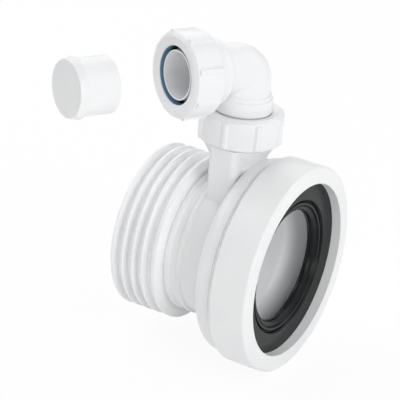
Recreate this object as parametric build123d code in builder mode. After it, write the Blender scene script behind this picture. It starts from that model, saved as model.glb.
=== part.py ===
from build123d import *
import math
import os

os.makedirs("parts", exist_ok=True)

# All sizes are in millimetres. The soil way runs along X with its inlet mouth at the origin,
# facing +X. The boss stands up along Z. Depths are measured back from the mouth of each axis.

# Inlet ring and the rubber seal that it holds on the bell
INLET_D = 115.0
RING_LIP = 6.4
RING_SEAT = 7.4
RING_WALL = 3.6
RING_LENGTH = 25.2
RING_ROUND = 2.2
SEAL_LIP_D = 73.4
SEAL_ROLL = 5.9
SEAL_GROOVE_WIDTH = 2.2
SEAL_GROOVE = 2.6
SEAL_RIDGE = 1.4
SEAL_VALLEY = 1.4
SEAL_BEAD_SET_BACK = 1.9
SEAL_NOSE = 0.9
SEAL_NOSE_SET_BACK = 3.0
SEAL_CLAMP = 3.0
SEAL_LIP_SET_BACK = 5.1
SEAL_SKIRT = 2.5
SEAL_SKIRT_WALL = 1.9
SEAL_SKIRT_FLARE = 0.8

# Bell, flange and soil pipe of the body
BELL_WALL = 3.0
BELL_CONE_START = 15.0
BELL_CONE_ROUND = 3.0
COLLAR_HEIGHT = 1.8
COLLAR_THICK = 1.4
COLLAR_GAP = 0.9
COLLAR_GROOVE = 0.9
FLANGE_HEIGHT = 0.3
FLANGE_THICK = 12.8
FLANGE_FLOOR = 8.0
FLANGE_ROUND = 9.0
PIPE_D = 92.0
PIPE_WALL = 3.0
BEAD_HEIGHT = 1.8
BEAD_WIDTH = 4.2
BEAD_FROM_STOP = 4.2
STOP_HEIGHT = 1.5
STOP_WIDTH = 4.0

# Soft finned seal on the outlet end
FIN_SEAL_LENGTH = 38.4
FIN_HEIGHT = 5.0
FIN_COUNT = 4
FIN_TIP = 1.6
FIN_BASE = 4.2
FIN_TAIL = 0.4
SLEEVE_WALL = 3.9
LIP_LENGTH = 8.6
LIP_SHOULDER = 4.2
LIP_RISE = 2.3
LIP_TOP = 2.2
LIP_ROUND = 1.6
PIPE_END_MARGIN = 1.2

# Compression joint, the same on the boss and on the bend: nut, slip washer, rubber seal and socket
TAIL_D = 35.6
SOCKET_WALL = 4.4
SOCKET_RELIEF = 1.9
SOCKET_DEPTH = 25.0
THREAD_RUN_OUT = 1.6
NUT_LENGTH = 20.0
NUT_WALL = 3.6
NUT_DISH = 1.2
NUT_SHOULDER = 1.8
NUT_SHOULDER_WIDTH = 2.6
NUT_EDGE = 0.8
NUT_FRONT_WALL = 3.9
RIB_COUNT = 8
RIB_HEIGHT = 1.3
RIB_BASE = 4.5
RIB_TOP = 2.0
RIB_ROOT = 1.0
RIB_START = 2.6
RIB_LENGTH = 16.4
WASHER_THICK = 1.0
WASHER_COLLAR = 1.7
JOINT_SEAL_THICK = 4.5

# Boss on top of the pipe, with its flared neck and the gusset that ties it to the flange
BOSS_FROM_FLANGE = 11.5
BOSS_RISE = 32.0
BOSS_NUT_TURN = -60.0
NECK_D = 35.0
NECK_WALL = 3.0
NECK_TO_SEAL = 1.7
FUNNEL_STEP = 1.1
FUNNEL_LENGTH = 11.0
FUNNEL_ROUND = 6.0
GUSSET_WIDTH = 46.8
GUSSET_SIDE = 6.2
GUSSET_ROUND = 0.8
GUSSET_FLANGE_ROUND = 4.5

# Swivel bend in the boss, its outlet turned towards the outlet side of the connector
BEND_RISE = 27.25
BEND_TURN = 243.3
BEND_RADIUS = 10.0
ARM_CLEARANCE = 6.3
ARM_SOCKET_LENGTH = 9.9
ARM_SOCKET_ROUND = 2.6
TAIL_COLLAR = 1.1
TAIL_COLLAR_DIP = 0.5
TAIL_COLLAR_TOP = 3.6
TAIL_STEP = 0.4
TAIL_STEP_TOP = 8.4
TAIL_NECK_TOP = 11.0
TUBE_WALL = 1.4
LINER_WALL = 0.95
LINER_SET_BACK = 2.5

# Blanking cap, drawn off along the bend's outlet
CAP_STANDOFF = 47.3
CAP_OVERLAP = 1.0
CAP_TAPER = 1.7
CAP_FLANGE_LENGTH = 6.7
CAP_SPIGOT_LENGTH = 20.9
CAP_WALL = 1.75
CAP_END_WALL = 2.5

# Clearances between pieces, and the small roundings of moulded edges
SNUG = 0.1
RING_CLEARANCE = 0.2
THREAD_CLEARANCE = 0.35
WASHER_CLEARANCE = 0.3
SEAL_CLEARANCE = 0.5
HOLE_CLEARANCE = 0.7
LINER_CLEARANCE = 0.35
TAIL_END_CLEARANCE = 0.5
FINE_ROUND = 0.25
EDGE_ROUND = 0.45
SOFT_ROUND = 0.8
CORNER_ROUND = 1.2

# Inlet end: radii and depths that the ring, seal and bell share
inlet_r = INLET_D / 2
ring_bore_r = inlet_r + RING_SEAT
ring_r = ring_bore_r + RING_WALL
bell_r = ring_bore_r - RING_CLEARANCE
collar_r = bell_r + COLLAR_HEIGHT
groove_r = bell_r - COLLAR_GROOVE
flange_r = bell_r + FLANGE_HEIGHT
seal_front = RING_LIP + SNUG
seal_back = seal_front + SEAL_CLAMP
bell_rim = seal_back + SNUG
collar_front = RING_LENGTH + COLLAR_GAP
collar_back = collar_front + COLLAR_THICK
flange_front = collar_back + COLLAR_GROOVE
flange_back = flange_front + FLANGE_THICK
bell_floor = flange_back - FLANGE_FLOOR

# Outlet end: the pipe reaches past the boss neck and the finned seal
pipe_r = PIPE_D / 2
pipe_bore_r = pipe_r - PIPE_WALL
neck_r = NECK_D / 2
boss_depth = flange_back + BOSS_FROM_FLANGE
fin_seal_front = boss_depth + neck_r + NECK_TO_SEAL
fin_seal_back = fin_seal_front + FIN_SEAL_LENGTH
pipe_end = fin_seal_back + PIPE_END_MARGIN
stop_back = fin_seal_front - SNUG
stop_front = stop_back - STOP_WIDTH
bead_back = stop_front - BEAD_FROM_STOP
bead_front = bead_back - BEAD_WIDTH

# Compression joint: radii outwards from the tail, and depths back from the nut's face
tail_r = TAIL_D / 2
nut_hole_r = tail_r + HOLE_CLEARANCE
thread_r = nut_hole_r + SOCKET_WALL
nut_thread_r = thread_r + THREAD_CLEARANCE
nut_body_r = nut_thread_r + NUT_WALL
nut_rim_r = nut_body_r - NUT_SHOULDER_WIDTH
rib_r = nut_body_r + RIB_HEIGHT
joint_seal_r = nut_thread_r - WASHER_CLEARANCE
nut_edge_back = NUT_DISH + NUT_EDGE
nut_front_back = NUT_DISH + NUT_FRONT_WALL
washer_front = nut_front_back + SNUG
washer_back = washer_front + WASHER_THICK
joint_seal_front = washer_back + SNUG
joint_seal_back = joint_seal_front + JOINT_SEAL_THICK
socket_rim = joint_seal_back + SNUG
socket_shoulder = NUT_LENGTH + THREAD_RUN_OUT

# Bend and cap: the cap's spigot is as wide as the tail, and slides over the liner
cap_bore_r = tail_r - CAP_WALL
liner_r = cap_bore_r - LINER_CLEARANCE
tube_bore_r = liner_r - LINER_WALL
tube_r = tube_bore_r + TUBE_WALL
tail_collar_r = tail_r + TAIL_COLLAR
tail_step_r = tail_collar_r - TAIL_STEP
tail_neck_r = (tail_step_r + tube_r) / 2
cap_flange_r = nut_hole_r + CAP_OVERLAP
cap_length = CAP_FLANGE_LENGTH + CAP_SPIGOT_LENGTH

# Frames of the turned pieces: origin in the mouth, Z pointing out of it
boss_height = flange_r + BOSS_RISE
bend_height = boss_height + BEND_RISE
bend_reach = rib_r + ARM_CLEARANCE + NUT_LENGTH
cap_reach = bend_reach + CAP_STANDOFF + cap_length
turn = math.radians(BEND_TURN)
nut_turn = math.radians(BOSS_NUT_TURN)
arm_direction = Vector(math.cos(turn), math.sin(turn), 0)
arm_side = Vector(-math.sin(turn), math.cos(turn), 0)
nut_direction = Vector(math.cos(nut_turn), math.sin(nut_turn), 0)
elbow_centre = Vector(-boss_depth, 0, bend_height)
inlet = Plane(origin=(0, 0, 0), x_dir=(0, 0, 1), z_dir=(1, 0, 0))
boss = Plane(origin=(-boss_depth, 0, boss_height), x_dir=nut_direction, z_dir=(0, 0, 1))
vent = Plane(origin=elbow_centre + arm_direction * bend_reach, x_dir=arm_side, z_dir=arm_direction)
cap_face = Plane(origin=elbow_centre + arm_direction * cap_reach, x_dir=arm_side, z_dir=arm_direction)


def half_section(frame):
    """Plane through a frame's axis: its first coordinate is the radius, its second runs along the axis."""
    return Plane(origin=frame.origin, x_dir=frame.x_dir, z_dir=-frame.y_dir)


def axis_of(frame):
    """Turning axis of a frame."""
    return Axis(frame.origin, frame.z_dir)


def outline(*corners):
    """Closed outline in the open sketch, from corners of radius, depth and rounding."""
    with BuildLine() as edge:
        FilletPolyline(
            *[(radius, -depth) for radius, depth, rounding in corners],
            radius=[rounding for radius, depth, rounding in corners],
            close=True,
        )
    make_face(edge.edges())


def finish(piece, name):
    """Label a finished piece and write it."""
    piece.part.label = name
    export_step(piece.part, f"parts/{name}.step")


# Body: bell, flange and pipe turned as one solid, then the gusset and boss, then the ways through
funnel_end = socket_shoulder + FUNNEL_LENGTH
gusset_top = boss_height - socket_shoulder
gusset_length = BOSS_FROM_FLANGE + GUSSET_SIDE
with BuildPart() as connector_body:
    with BuildSketch(half_section(inlet)):
        outline(
            (0, bell_rim, 0),
            (bell_r, bell_rim, EDGE_ROUND),
            (bell_r, collar_front, 0),
            (collar_r, collar_front, EDGE_ROUND),
            (collar_r, collar_back, EDGE_ROUND),
            (groove_r, collar_back, 0),
            (groove_r, flange_front, 0),
            (flange_r, flange_front, EDGE_ROUND),
            (flange_r, flange_back, FLANGE_ROUND),
            (pipe_r, flange_back, CORNER_ROUND),
            (pipe_r, bead_front, EDGE_ROUND),
            (pipe_r + BEAD_HEIGHT, bead_front + BEAD_HEIGHT / 2, SOFT_ROUND),
            (pipe_r + BEAD_HEIGHT, bead_back - BEAD_HEIGHT / 2, SOFT_ROUND),
            (pipe_r, bead_back, EDGE_ROUND),
            (pipe_r, stop_front, EDGE_ROUND),
            (pipe_r + STOP_HEIGHT, stop_front + STOP_HEIGHT, EDGE_ROUND),
            (pipe_r + STOP_HEIGHT, stop_back, EDGE_ROUND),
            (pipe_r, stop_back, 0),
            (pipe_r, pipe_end, SOFT_ROUND),
            (0, pipe_end, 0),
        )
    revolve(axis=axis_of(inlet))
    # Gusset between the boss and the flange, square on its free edge
    with BuildSketch(Plane.XY.offset(gusset_top)):
        with Locations((-flange_back - gusset_length / 2, 0)):
            gusset = Rectangle(gusset_length, GUSSET_WIDTH)
        fillet(gusset.vertices().group_by(Axis.X)[-1], GUSSET_FLANGE_ROUND)
        fillet(gusset.vertices().group_by(Axis.X)[0], GUSSET_ROUND)
    extrude(amount=-gusset_top)
    # Boss: threaded socket, funnel and neck
    with BuildSketch(half_section(boss)):
        outline(
            (0, socket_rim, 0),
            (thread_r, socket_rim, SOFT_ROUND),
            (thread_r, socket_shoulder, 0),
            (thread_r + FUNNEL_STEP, socket_shoulder, EDGE_ROUND),
            (neck_r, funnel_end, FUNNEL_ROUND),
            (neck_r, boss_height, 0),
            (0, boss_height, 0),
        )
    revolve(axis=axis_of(boss))
    # Soil way from the bell to the outlet end
    with BuildSketch(half_section(inlet)):
        outline(
            (0, 0, 0),
            (bell_r - BELL_WALL, 0, 0),
            (bell_r - BELL_WALL, BELL_CONE_START, BELL_CONE_ROUND),
            (pipe_bore_r, bell_floor, BELL_CONE_ROUND),
            (pipe_bore_r, pipe_end, 0),
            (0, pipe_end, 0),
        )
    revolve(axis=axis_of(inlet), mode=Mode.SUBTRACT)
    # Way down through the boss, with the floor that the bend's tail stands on
    with BuildSketch(half_section(boss)):
        outline(
            (0, 0, 0),
            (nut_hole_r, 0, 0),
            (nut_hole_r, SOCKET_DEPTH, 0),
            (neck_r - NECK_WALL, SOCKET_DEPTH, EDGE_ROUND),
            (neck_r - NECK_WALL, boss_height, 0),
            (0, boss_height, 0),
        )
    revolve(axis=axis_of(boss), mode=Mode.SUBTRACT)
finish(connector_body, "connector_body")

# Ring that snaps over the bell and holds the inlet seal
with BuildPart() as inlet_ring:
    with BuildSketch(half_section(inlet)):
        outline(
            (inlet_r, 0, 0),
            (ring_r, 0, RING_ROUND),
            (ring_r, RING_LENGTH, EDGE_ROUND),
            (ring_bore_r, RING_LENGTH, EDGE_ROUND),
            (ring_bore_r, RING_LIP, EDGE_ROUND),
            (inlet_r, RING_LIP, 0),
        )
    revolve(axis=axis_of(inlet))
finish(inlet_ring, "inlet_ring")

# Inlet seal: flat rim under the ring, a groove, a ridge, then a beaded lip with a skirt behind it
lip_r = SEAL_LIP_D / 2
roll_r = lip_r + SEAL_ROLL
ridge_r = roll_r - SEAL_RIDGE
flat_r = roll_r + SEAL_GROOVE_WIDTH
lip_depth = seal_front + SEAL_LIP_SET_BACK
skirt_end = lip_depth + SEAL_SKIRT
skirt_r = lip_r + SEAL_SKIRT_FLARE
with BuildPart() as inlet_seal:
    with BuildSketch(half_section(inlet)):
        outline(
            (bell_r, seal_front, EDGE_ROUND),
            (flat_r, seal_front, SOFT_ROUND),
            (flat_r - SEAL_GROOVE_WIDTH / 2, seal_front + SEAL_GROOVE, FINE_ROUND),
            (roll_r, seal_front + SEAL_GROOVE / 3, EDGE_ROUND),
            (ridge_r, seal_front + SEAL_GROOVE / 3, EDGE_ROUND),
            (ridge_r - SEAL_VALLEY / 2, seal_front + SEAL_GROOVE, FINE_ROUND),
            (ridge_r - SEAL_VALLEY, seal_front + SEAL_BEAD_SET_BACK, EDGE_ROUND),
            (lip_r + SEAL_NOSE, seal_front + SEAL_NOSE_SET_BACK, CORNER_ROUND),
            (lip_r, lip_depth, CORNER_ROUND),
            (skirt_r, skirt_end, FINE_ROUND),
            (skirt_r + SEAL_SKIRT_WALL, skirt_end, FINE_ROUND),
            (roll_r, seal_back + SEAL_GROOVE, CORNER_ROUND),
            (flat_r + SEAL_GROOVE_WIDTH, seal_back, CORNER_ROUND),
            (bell_r, seal_back, EDGE_ROUND),
        )
    revolve(axis=axis_of(inlet))
finish(inlet_seal, "inlet_seal")

# Finned seal: a sleeve on the pipe with a thick rounded lip in front and even fins behind it
sleeve_bore_r = pipe_r + SNUG
sleeve_r = sleeve_bore_r + SLEEVE_WALL
fin_r = sleeve_r + FIN_HEIGHT
lip_end = fin_seal_front + LIP_LENGTH
fin_pitch = (FIN_SEAL_LENGTH - LIP_LENGTH - FIN_TAIL) / FIN_COUNT
fin_corners = []
for number in range(FIN_COUNT):
    middle = lip_end + fin_pitch * (number + 0.5)
    fin_corners += [
        (sleeve_r, middle - FIN_BASE / 2, EDGE_ROUND),
        (fin_r, middle - FIN_TIP / 2, EDGE_ROUND),
        (fin_r, middle + FIN_TIP / 2, EDGE_ROUND),
        (sleeve_r, middle + FIN_BASE / 2, EDGE_ROUND),
    ]
with BuildPart() as outlet_fin_seal:
    with BuildSketch(half_section(inlet)):
        outline(
            (sleeve_bore_r, fin_seal_front, 0),
            (sleeve_bore_r + LIP_SHOULDER, fin_seal_front, LIP_ROUND),
            (fin_r, fin_seal_front + LIP_RISE, EDGE_ROUND),
            (fin_r, fin_seal_front + LIP_RISE + LIP_TOP, EDGE_ROUND),
            (sleeve_r, lip_end, CORNER_ROUND),
            *fin_corners,
            (sleeve_bore_r, fin_seal_back, 0),
        )
    revolve(axis=axis_of(inlet))
finish(outlet_fin_seal, "outlet_fin_seal")


# Nuts of the two compression joints: a dished front with a raised rim, and grip ribs around
pocket_r = nut_hole_r + WASHER_COLLAR + WASHER_CLEARANCE
for name, frame in (("boss_nut", boss), ("bend_nut", vent)):
    with BuildPart() as nut:
        with BuildSketch(half_section(frame)):
            outline(
                (nut_hole_r, NUT_DISH, FINE_ROUND),
                (nut_rim_r, 0, SOFT_ROUND),
                (nut_body_r, NUT_SHOULDER, CORNER_ROUND),
                (nut_body_r, NUT_LENGTH, EDGE_ROUND),
                (nut_thread_r, NUT_LENGTH, EDGE_ROUND),
                (nut_thread_r, nut_front_back, EDGE_ROUND),
                (pocket_r, nut_front_back, 0),
                (pocket_r, nut_edge_back, FINE_ROUND),
                (nut_hole_r, nut_edge_back, FINE_ROUND),
            )
        revolve(axis=axis_of(frame))
        with BuildSketch(frame.offset(-RIB_START)):
            with PolarLocations(nut_body_r, RIB_COUNT, start_angle=180 / RIB_COUNT):
                Polygon(
                    (-RIB_ROOT, -RIB_BASE / 2),
                    (0, -RIB_BASE / 2),
                    (RIB_HEIGHT, -RIB_TOP / 2),
                    (RIB_HEIGHT, RIB_TOP / 2),
                    (0, RIB_BASE / 2),
                    (-RIB_ROOT, RIB_BASE / 2),
                    align=None,
                )
        extrude(amount=-RIB_LENGTH)
    finish(nut, name)

# Slip washers, with a collar that lines the nut's hole
for name, frame in (("boss_washer", boss), ("bend_washer", vent)):
    with BuildPart() as washer:
        with BuildSketch(half_section(frame)):
            outline(
                (nut_hole_r, nut_edge_back + SNUG, 0),
                (nut_hole_r + WASHER_COLLAR, nut_edge_back + SNUG, FINE_ROUND),
                (nut_hole_r + WASHER_COLLAR, washer_front, 0),
                (joint_seal_r, washer_front, FINE_ROUND),
                (joint_seal_r, washer_back, 0),
                (nut_hole_r, washer_back, 0),
            )
        revolve(axis=axis_of(frame))
    finish(washer, name)

# Rubber seals of the joints, each standing on its socket's rim
joint_seal_bore_r = tail_r + SEAL_CLEARANCE
for name, frame in (("boss_seal", boss), ("bend_seal", vent)):
    with BuildPart() as joint_seal:
        with BuildSketch(half_section(frame)):
            outline(
                (joint_seal_bore_r, joint_seal_front, EDGE_ROUND),
                (joint_seal_r, joint_seal_front, EDGE_ROUND),
                (joint_seal_r, joint_seal_back, EDGE_ROUND),
                (joint_seal_bore_r, joint_seal_back, EDGE_ROUND),
            )
        revolve(axis=axis_of(frame))
    finish(joint_seal, name)


def elbow_disc(radius):
    """Part of the tube's disc that lies outside the elbow's axis, in the open sketch."""
    with Locations((-BEND_RADIUS, 0)):
        Circle(radius)
    Rectangle(
        BEND_RADIUS + radius,
        2 * radius,
        align=(Align.MAX, Align.CENTER),
        mode=Mode.INTERSECT,
    )


# Swivel bend: tail in the boss, tight elbow, and an arm with a socket and an inner liner
tail_end = SOCKET_DEPTH - TAIL_END_CLEARANCE
elbow_foot = BEND_RISE - BEND_RADIUS
arm_start = bend_reach - BEND_RADIUS
arm_socket_back = socket_shoulder + ARM_SOCKET_LENGTH
elbow_pivot = elbow_centre + arm_direction * BEND_RADIUS - Vector(0, 0, BEND_RADIUS)
elbow_plane = Plane(origin=elbow_pivot, x_dir=arm_direction, z_dir=(0, 0, 1))
elbow_axis = Axis(elbow_pivot, arm_side)
with BuildPart() as swivel_bend:
    with BuildSketch(half_section(boss)):
        outline(
            (0, tail_end, 0),
            (tail_r, tail_end, SOFT_ROUND),
            (tail_r, TAIL_COLLAR_DIP, 0),
            (tail_collar_r, TAIL_COLLAR_DIP, FINE_ROUND),
            (tail_collar_r, -TAIL_COLLAR_TOP, FINE_ROUND),
            (tail_step_r, -TAIL_COLLAR_TOP, 0),
            (tail_step_r, -TAIL_STEP_TOP, SOFT_ROUND),
            (tail_neck_r, -TAIL_STEP_TOP, 0),
            (tail_neck_r, -TAIL_NECK_TOP, EDGE_ROUND),
            (tube_r, -TAIL_NECK_TOP, 0),
            (tube_r, -elbow_foot, 0),
            (0, -elbow_foot, 0),
        )
    revolve(axis=axis_of(boss))
    with BuildSketch(elbow_plane):
        elbow_disc(tube_r)
    revolve(axis=elbow_axis, revolution_arc=90)
    with BuildSketch(half_section(vent)):
        outline(
            (0, LINER_SET_BACK, 0),
            (liner_r, LINER_SET_BACK, FINE_ROUND),
            (liner_r, SOCKET_DEPTH, 0),
            (nut_hole_r, SOCKET_DEPTH, 0),
            (nut_hole_r, socket_rim, 0),
            (thread_r, socket_rim, SOFT_ROUND),
            (thread_r, socket_shoulder, 0),
            (thread_r - SOCKET_RELIEF, socket_shoulder, 0),
            (thread_r - SOCKET_RELIEF, arm_socket_back, ARM_SOCKET_ROUND),
            (tube_r, arm_socket_back, 0),
            (tube_r, arm_start, 0),
            (0, arm_start, 0),
        )
    revolve(axis=axis_of(vent))
    # Way through the tail, the elbow and the arm
    with BuildSketch(elbow_plane):
        with Locations((-BEND_RADIUS, 0)):
            Circle(tube_bore_r)
    extrude(amount=-(elbow_foot + tail_end), mode=Mode.SUBTRACT)
    with BuildSketch(elbow_plane):
        elbow_disc(tube_bore_r)
    revolve(axis=elbow_axis, revolution_arc=90, mode=Mode.SUBTRACT)
    with BuildSketch(vent):
        Circle(tube_bore_r)
    extrude(amount=-arm_start, mode=Mode.SUBTRACT)
finish(swivel_bend, "swivel_bend")

# Blanking cap: a hollow spigot with a closed, tapered flange
with BuildPart() as blank_cap:
    with BuildSketch(half_section(cap_face)):
        outline(
            (0, 0, 0),
            (cap_flange_r - CAP_TAPER, 0, SOFT_ROUND),
            (cap_flange_r, CAP_FLANGE_LENGTH, CORNER_ROUND),
            (tail_r, CAP_FLANGE_LENGTH, 0),
            (tail_r, cap_length, EDGE_ROUND),
            (cap_bore_r, cap_length, EDGE_ROUND),
            (cap_bore_r, CAP_END_WALL, SOFT_ROUND),
            (0, CAP_END_WALL, 0),
        )
    revolve(axis=axis_of(cap_face))
finish(blank_cap, "blank_cap")
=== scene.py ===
import math

import bpy
from mathutils import Matrix, Vector

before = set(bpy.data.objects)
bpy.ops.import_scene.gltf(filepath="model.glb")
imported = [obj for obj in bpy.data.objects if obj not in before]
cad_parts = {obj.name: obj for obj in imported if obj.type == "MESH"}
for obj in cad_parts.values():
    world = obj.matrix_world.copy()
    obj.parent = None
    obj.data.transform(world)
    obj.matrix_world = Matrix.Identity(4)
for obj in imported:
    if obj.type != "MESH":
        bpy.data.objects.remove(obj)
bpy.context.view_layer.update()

# Camera as in the photograph: angles in degrees, distances in metres, lens and sensor in millimetres
PHOTO_AZIMUTH = 28.5
PHOTO_ELEVATION = 23.29
PHOTO_ROLL = 6.03
PHOTO_DISTANCE = 1.275
PHOTO_RIGHT = -0.0626
PHOTO_UP = 0.0448
PHOTO_LENS = 180.0
PHOTO_SENSOR = 36.0

# Floor under the ring, and light: shares of white, and the lamps' distance in metres
FLOOR_HEIGHT = -0.0685
FLOOR_SIZE = 16.0
FLOOR_COLOUR = (0.95, 0.95, 0.95)
FLOOR_WHITE = 0.93
WORLD_LIGHT = 0.27
WORLD_WHITE = 1.0
LAMP_DISTANCE = 1.6

# Colours of the moulded pieces, each with a second tone close to it
WHITE = (0.87, 0.875, 0.88)
WHITE_COOL = (0.84, 0.85, 0.86)
SOFT_WHITE = (0.91, 0.915, 0.92)
SOFT_COOL = (0.88, 0.89, 0.9)
BLACK = (0.004, 0.005, 0.0055)
BLACK_BLOOM = (0.008, 0.01, 0.011)
BLUE = (0.08, 0.22, 0.34)
BLUE_PALE = (0.13, 0.29, 0.41)

# Noise of the moulded surfaces: changes to the metre, steps of finer detail, and the part of its range in use
TONE_SCALE = 22.0
TONE_DETAIL = 3.0
GLOSS_SCALE = 60.0
GLOSS_DETAIL = 4.0
FLOW_SCALE = 35.0
FLOW_DETAIL = 1.0
GRAIN_DETAIL = 2.0
NOISE_LOW = 0.35
NOISE_HIGH = 0.65
PLASTIC_IOR = 1.49


def colour(rgb):
    """Colour with an alpha of one."""
    return (*rgb, 1.0)


def emptied(owner):
    """Nodes and links of a material or world, without the nodes that it came with."""
    owner.use_nodes = True
    owner.node_tree.nodes.clear()
    return owner.node_tree.nodes, owner.node_tree.links


def moulded(name, main, second, roughness, spread, grain, grain_depth, flow_depth, gloss_level=0.5):
    """Moulded surface: two close tones, uneven gloss, a fine grain and faint flow of the melt."""
    material = bpy.data.materials.new(name)
    nodes, links = emptied(material)
    output = nodes.new("ShaderNodeOutputMaterial")
    shader = nodes.new("ShaderNodeBsdfPrincipled")
    place = nodes.new("ShaderNodeTexCoord")

    def noise(scale, detail):
        made = nodes.new("ShaderNodeTexNoise")
        made.inputs["Scale"].default_value = scale
        made.inputs["Detail"].default_value = detail
        links.new(place.outputs["Object"], made.inputs["Vector"])
        return made.outputs["Fac"]

    def rerange(value, low, high):
        made = nodes.new("ShaderNodeMapRange")
        made.inputs["From Min"].default_value = NOISE_LOW
        made.inputs["From Max"].default_value = NOISE_HIGH
        made.inputs["To Min"].default_value = low
        made.inputs["To Max"].default_value = high
        links.new(value, made.inputs["Value"])
        return made.outputs["Result"]

    def bump(height, depth):
        made = nodes.new("ShaderNodeBump")
        made.inputs["Strength"].default_value = 1.0
        made.inputs["Distance"].default_value = depth
        links.new(height, made.inputs["Height"])
        return made

    tone = nodes.new("ShaderNodeMix")
    tone.data_type = "RGBA"
    tone.inputs["A"].default_value = colour(main)
    tone.inputs["B"].default_value = colour(second)
    links.new(rerange(noise(TONE_SCALE, TONE_DETAIL), 0.0, 1.0), tone.inputs["Factor"])
    links.new(tone.outputs["Result"], shader.inputs["Base Color"])
    gloss = noise(GLOSS_SCALE, GLOSS_DETAIL)
    links.new(rerange(gloss, roughness - spread, roughness + spread), shader.inputs["Roughness"])
    flow = bump(noise(FLOW_SCALE, FLOW_DETAIL), flow_depth)
    fine = bump(noise(grain, GRAIN_DETAIL), grain_depth)
    links.new(flow.outputs["Normal"], fine.inputs["Normal"])
    links.new(fine.outputs["Normal"], shader.inputs["Normal"])
    shader.inputs["IOR"].default_value = PLASTIC_IOR
    shader.inputs["Specular IOR Level"].default_value = gloss_level
    links.new(shader.outputs["BSDF"], output.inputs["Surface"])
    return material


# Materials of the CAD nodes: depths in metres
plastic = moulded(
    "white_plastic", WHITE, WHITE_COOL, roughness=0.36, spread=0.05,
    grain=900.0, grain_depth=0.000012, flow_depth=0.00003,
)
soft = moulded(
    "soft_white", SOFT_WHITE, SOFT_COOL, roughness=0.5, spread=0.06,
    grain=700.0, grain_depth=0.00002, flow_depth=0.00003,
)
rubber = moulded(
    "black_rubber", BLACK, BLACK_BLOOM, roughness=0.22, spread=0.06,
    grain=800.0, grain_depth=0.00002, flow_depth=0.00015, gloss_level=0.14,
)
washer = moulded(
    "blue_washer", BLUE, BLUE_PALE, roughness=0.45, spread=0.06,
    grain=900.0, grain_depth=0.000015, flow_depth=0.0001,
)
SURFACES = {
    "connector_body": plastic,
    "inlet_ring": plastic,
    "inlet_seal": rubber,
    "outlet_fin_seal": soft,
    "boss_nut": plastic,
    "boss_washer": washer,
    "boss_seal": rubber,
    "swivel_bend": plastic,
    "bend_nut": plastic,
    "bend_washer": washer,
    "bend_seal": rubber,
    "blank_cap": plastic,
}
for name, material in SURFACES.items():
    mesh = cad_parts[name].data
    mesh.materials.clear()
    mesh.materials.append(material)


def seen_rays(nodes, links):
    """One for rays that show the background: from the camera, by gloss or through something clear."""
    path = nodes.new("ShaderNodeLightPath")
    seen = path.outputs["Is Camera Ray"]
    for name in ("Is Glossy Ray", "Is Transmission Ray"):
        either = nodes.new("ShaderNodeMath")
        either.operation = "MAXIMUM"
        links.new(seen, either.inputs[0])
        links.new(path.outputs[name], either.inputs[1])
        seen = either.outputs["Value"]
    return seen


def pale_floor():
    """Matte floor that is seen as near white and keeps the object's shadow."""
    material = bpy.data.materials.new("floor")
    nodes, links = emptied(material)
    matte = nodes.new("ShaderNodeBsdfDiffuse")
    matte.inputs["Color"].default_value = colour(FLOOR_COLOUR)
    white = nodes.new("ShaderNodeEmission")
    share = nodes.new("ShaderNodeMath")
    share.operation = "MULTIPLY"
    share.inputs[1].default_value = FLOOR_WHITE
    links.new(seen_rays(nodes, links), share.inputs[0])
    mix = nodes.new("ShaderNodeMixShader")
    links.new(share.outputs["Value"], mix.inputs["Fac"])
    links.new(matte.outputs["BSDF"], mix.inputs[1])
    links.new(white.outputs["Emission"], mix.inputs[2])
    output = nodes.new("ShaderNodeOutputMaterial")
    links.new(mix.outputs["Shader"], output.inputs["Surface"])
    return material


def studio_world():
    """World of even soft light, seen as white."""
    world = bpy.data.worlds.new("studio")
    nodes, links = emptied(world)
    strength = nodes.new("ShaderNodeMapRange")
    strength.inputs["To Min"].default_value = WORLD_LIGHT
    strength.inputs["To Max"].default_value = WORLD_WHITE
    links.new(seen_rays(nodes, links), strength.inputs["Value"])
    background = nodes.new("ShaderNodeBackground")
    links.new(strength.outputs["Result"], background.inputs["Strength"])
    output = nodes.new("ShaderNodeOutputWorld")
    links.new(background.outputs["Background"], output.inputs["Surface"])
    return world


# Floor and world
floor_mesh = bpy.data.meshes.new("floor")
half = FLOOR_SIZE / 2
corners = ((-half, -half), (half, -half), (half, half), (-half, half))
floor_mesh.from_pydata([(x, y, FLOOR_HEIGHT) for x, y in corners], [], [(0, 1, 2, 3)])
floor_mesh.materials.append(pale_floor())
floor = bpy.data.objects.new("floor", floor_mesh)
bpy.context.scene.collection.objects.link(floor)
bpy.context.scene.world = studio_world()


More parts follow.
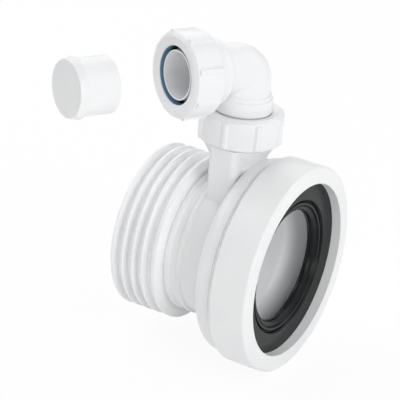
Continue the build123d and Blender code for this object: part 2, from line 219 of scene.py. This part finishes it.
def towards(azimuth, elevation):
    """Direction from the object, by degrees round from -Y towards +X and degrees up."""
    a = math.radians(azimuth)
    e = math.radians(elevation)
    return Vector((math.sin(a) * math.cos(e), -math.cos(a) * math.cos(e), math.sin(e)))


def softbox(name, azimuth, elevation, size, power):
    """Square studio lamp that looks at the object from an azimuth and an elevation."""
    back = towards(azimuth, elevation)
    light = bpy.data.lights.new(name, "AREA")
    light.shape = "SQUARE"
    light.size = size
    light.energy = power
    lamp = bpy.data.objects.new(name, light)
    lamp.location = back * LAMP_DISTANCE
    lamp.rotation_mode = "QUATERNION"
    lamp.rotation_quaternion = back.to_track_quat("Z", "Y")
    bpy.context.scene.collection.objects.link(lamp)


# Lamps: sizes in metres, powers in watts
softbox("key", azimuth=66.0, elevation=36.0, size=1.2, power=8.7)
softbox("low", azimuth=60.0, elevation=8.0, size=0.5, power=2.9)
softbox("front", azimuth=20.0, elevation=12.0, size=0.6, power=4.0)
softbox("left", azimuth=-90.0, elevation=35.0, size=0.8, power=6.5)
softbox("top_left", azimuth=-60.0, elevation=60.0, size=1.2, power=5.1)
softbox("back_left", azimuth=-140.0, elevation=40.0, size=1.2, power=5.0)
softbox("back_right", azimuth=140.0, elevation=40.0, size=1.2, power=7.4)

# Camera
back = towards(PHOTO_AZIMUTH, PHOTO_ELEVATION)
level = towards(PHOTO_AZIMUTH + 90.0, 0.0)
upright = back.cross(level)
roll = math.radians(PHOTO_ROLL)
right = level * math.cos(roll) + upright * math.sin(roll)
up = upright * math.cos(roll) - level * math.sin(roll)
lens = bpy.data.cameras.new("camera")
lens.lens = PHOTO_LENS
lens.sensor_width = PHOTO_SENSOR
camera = bpy.data.objects.new("camera", lens)
place = back * PHOTO_DISTANCE + right * PHOTO_RIGHT + up * PHOTO_UP
camera.matrix_world = Matrix.Translation(place) @ Matrix((right, up, back)).transposed().to_4x4()
bpy.context.scene.collection.objects.link(camera)
bpy.context.scene.camera = camera
bpy.context.scene.view_settings.view_transform = "Standard"
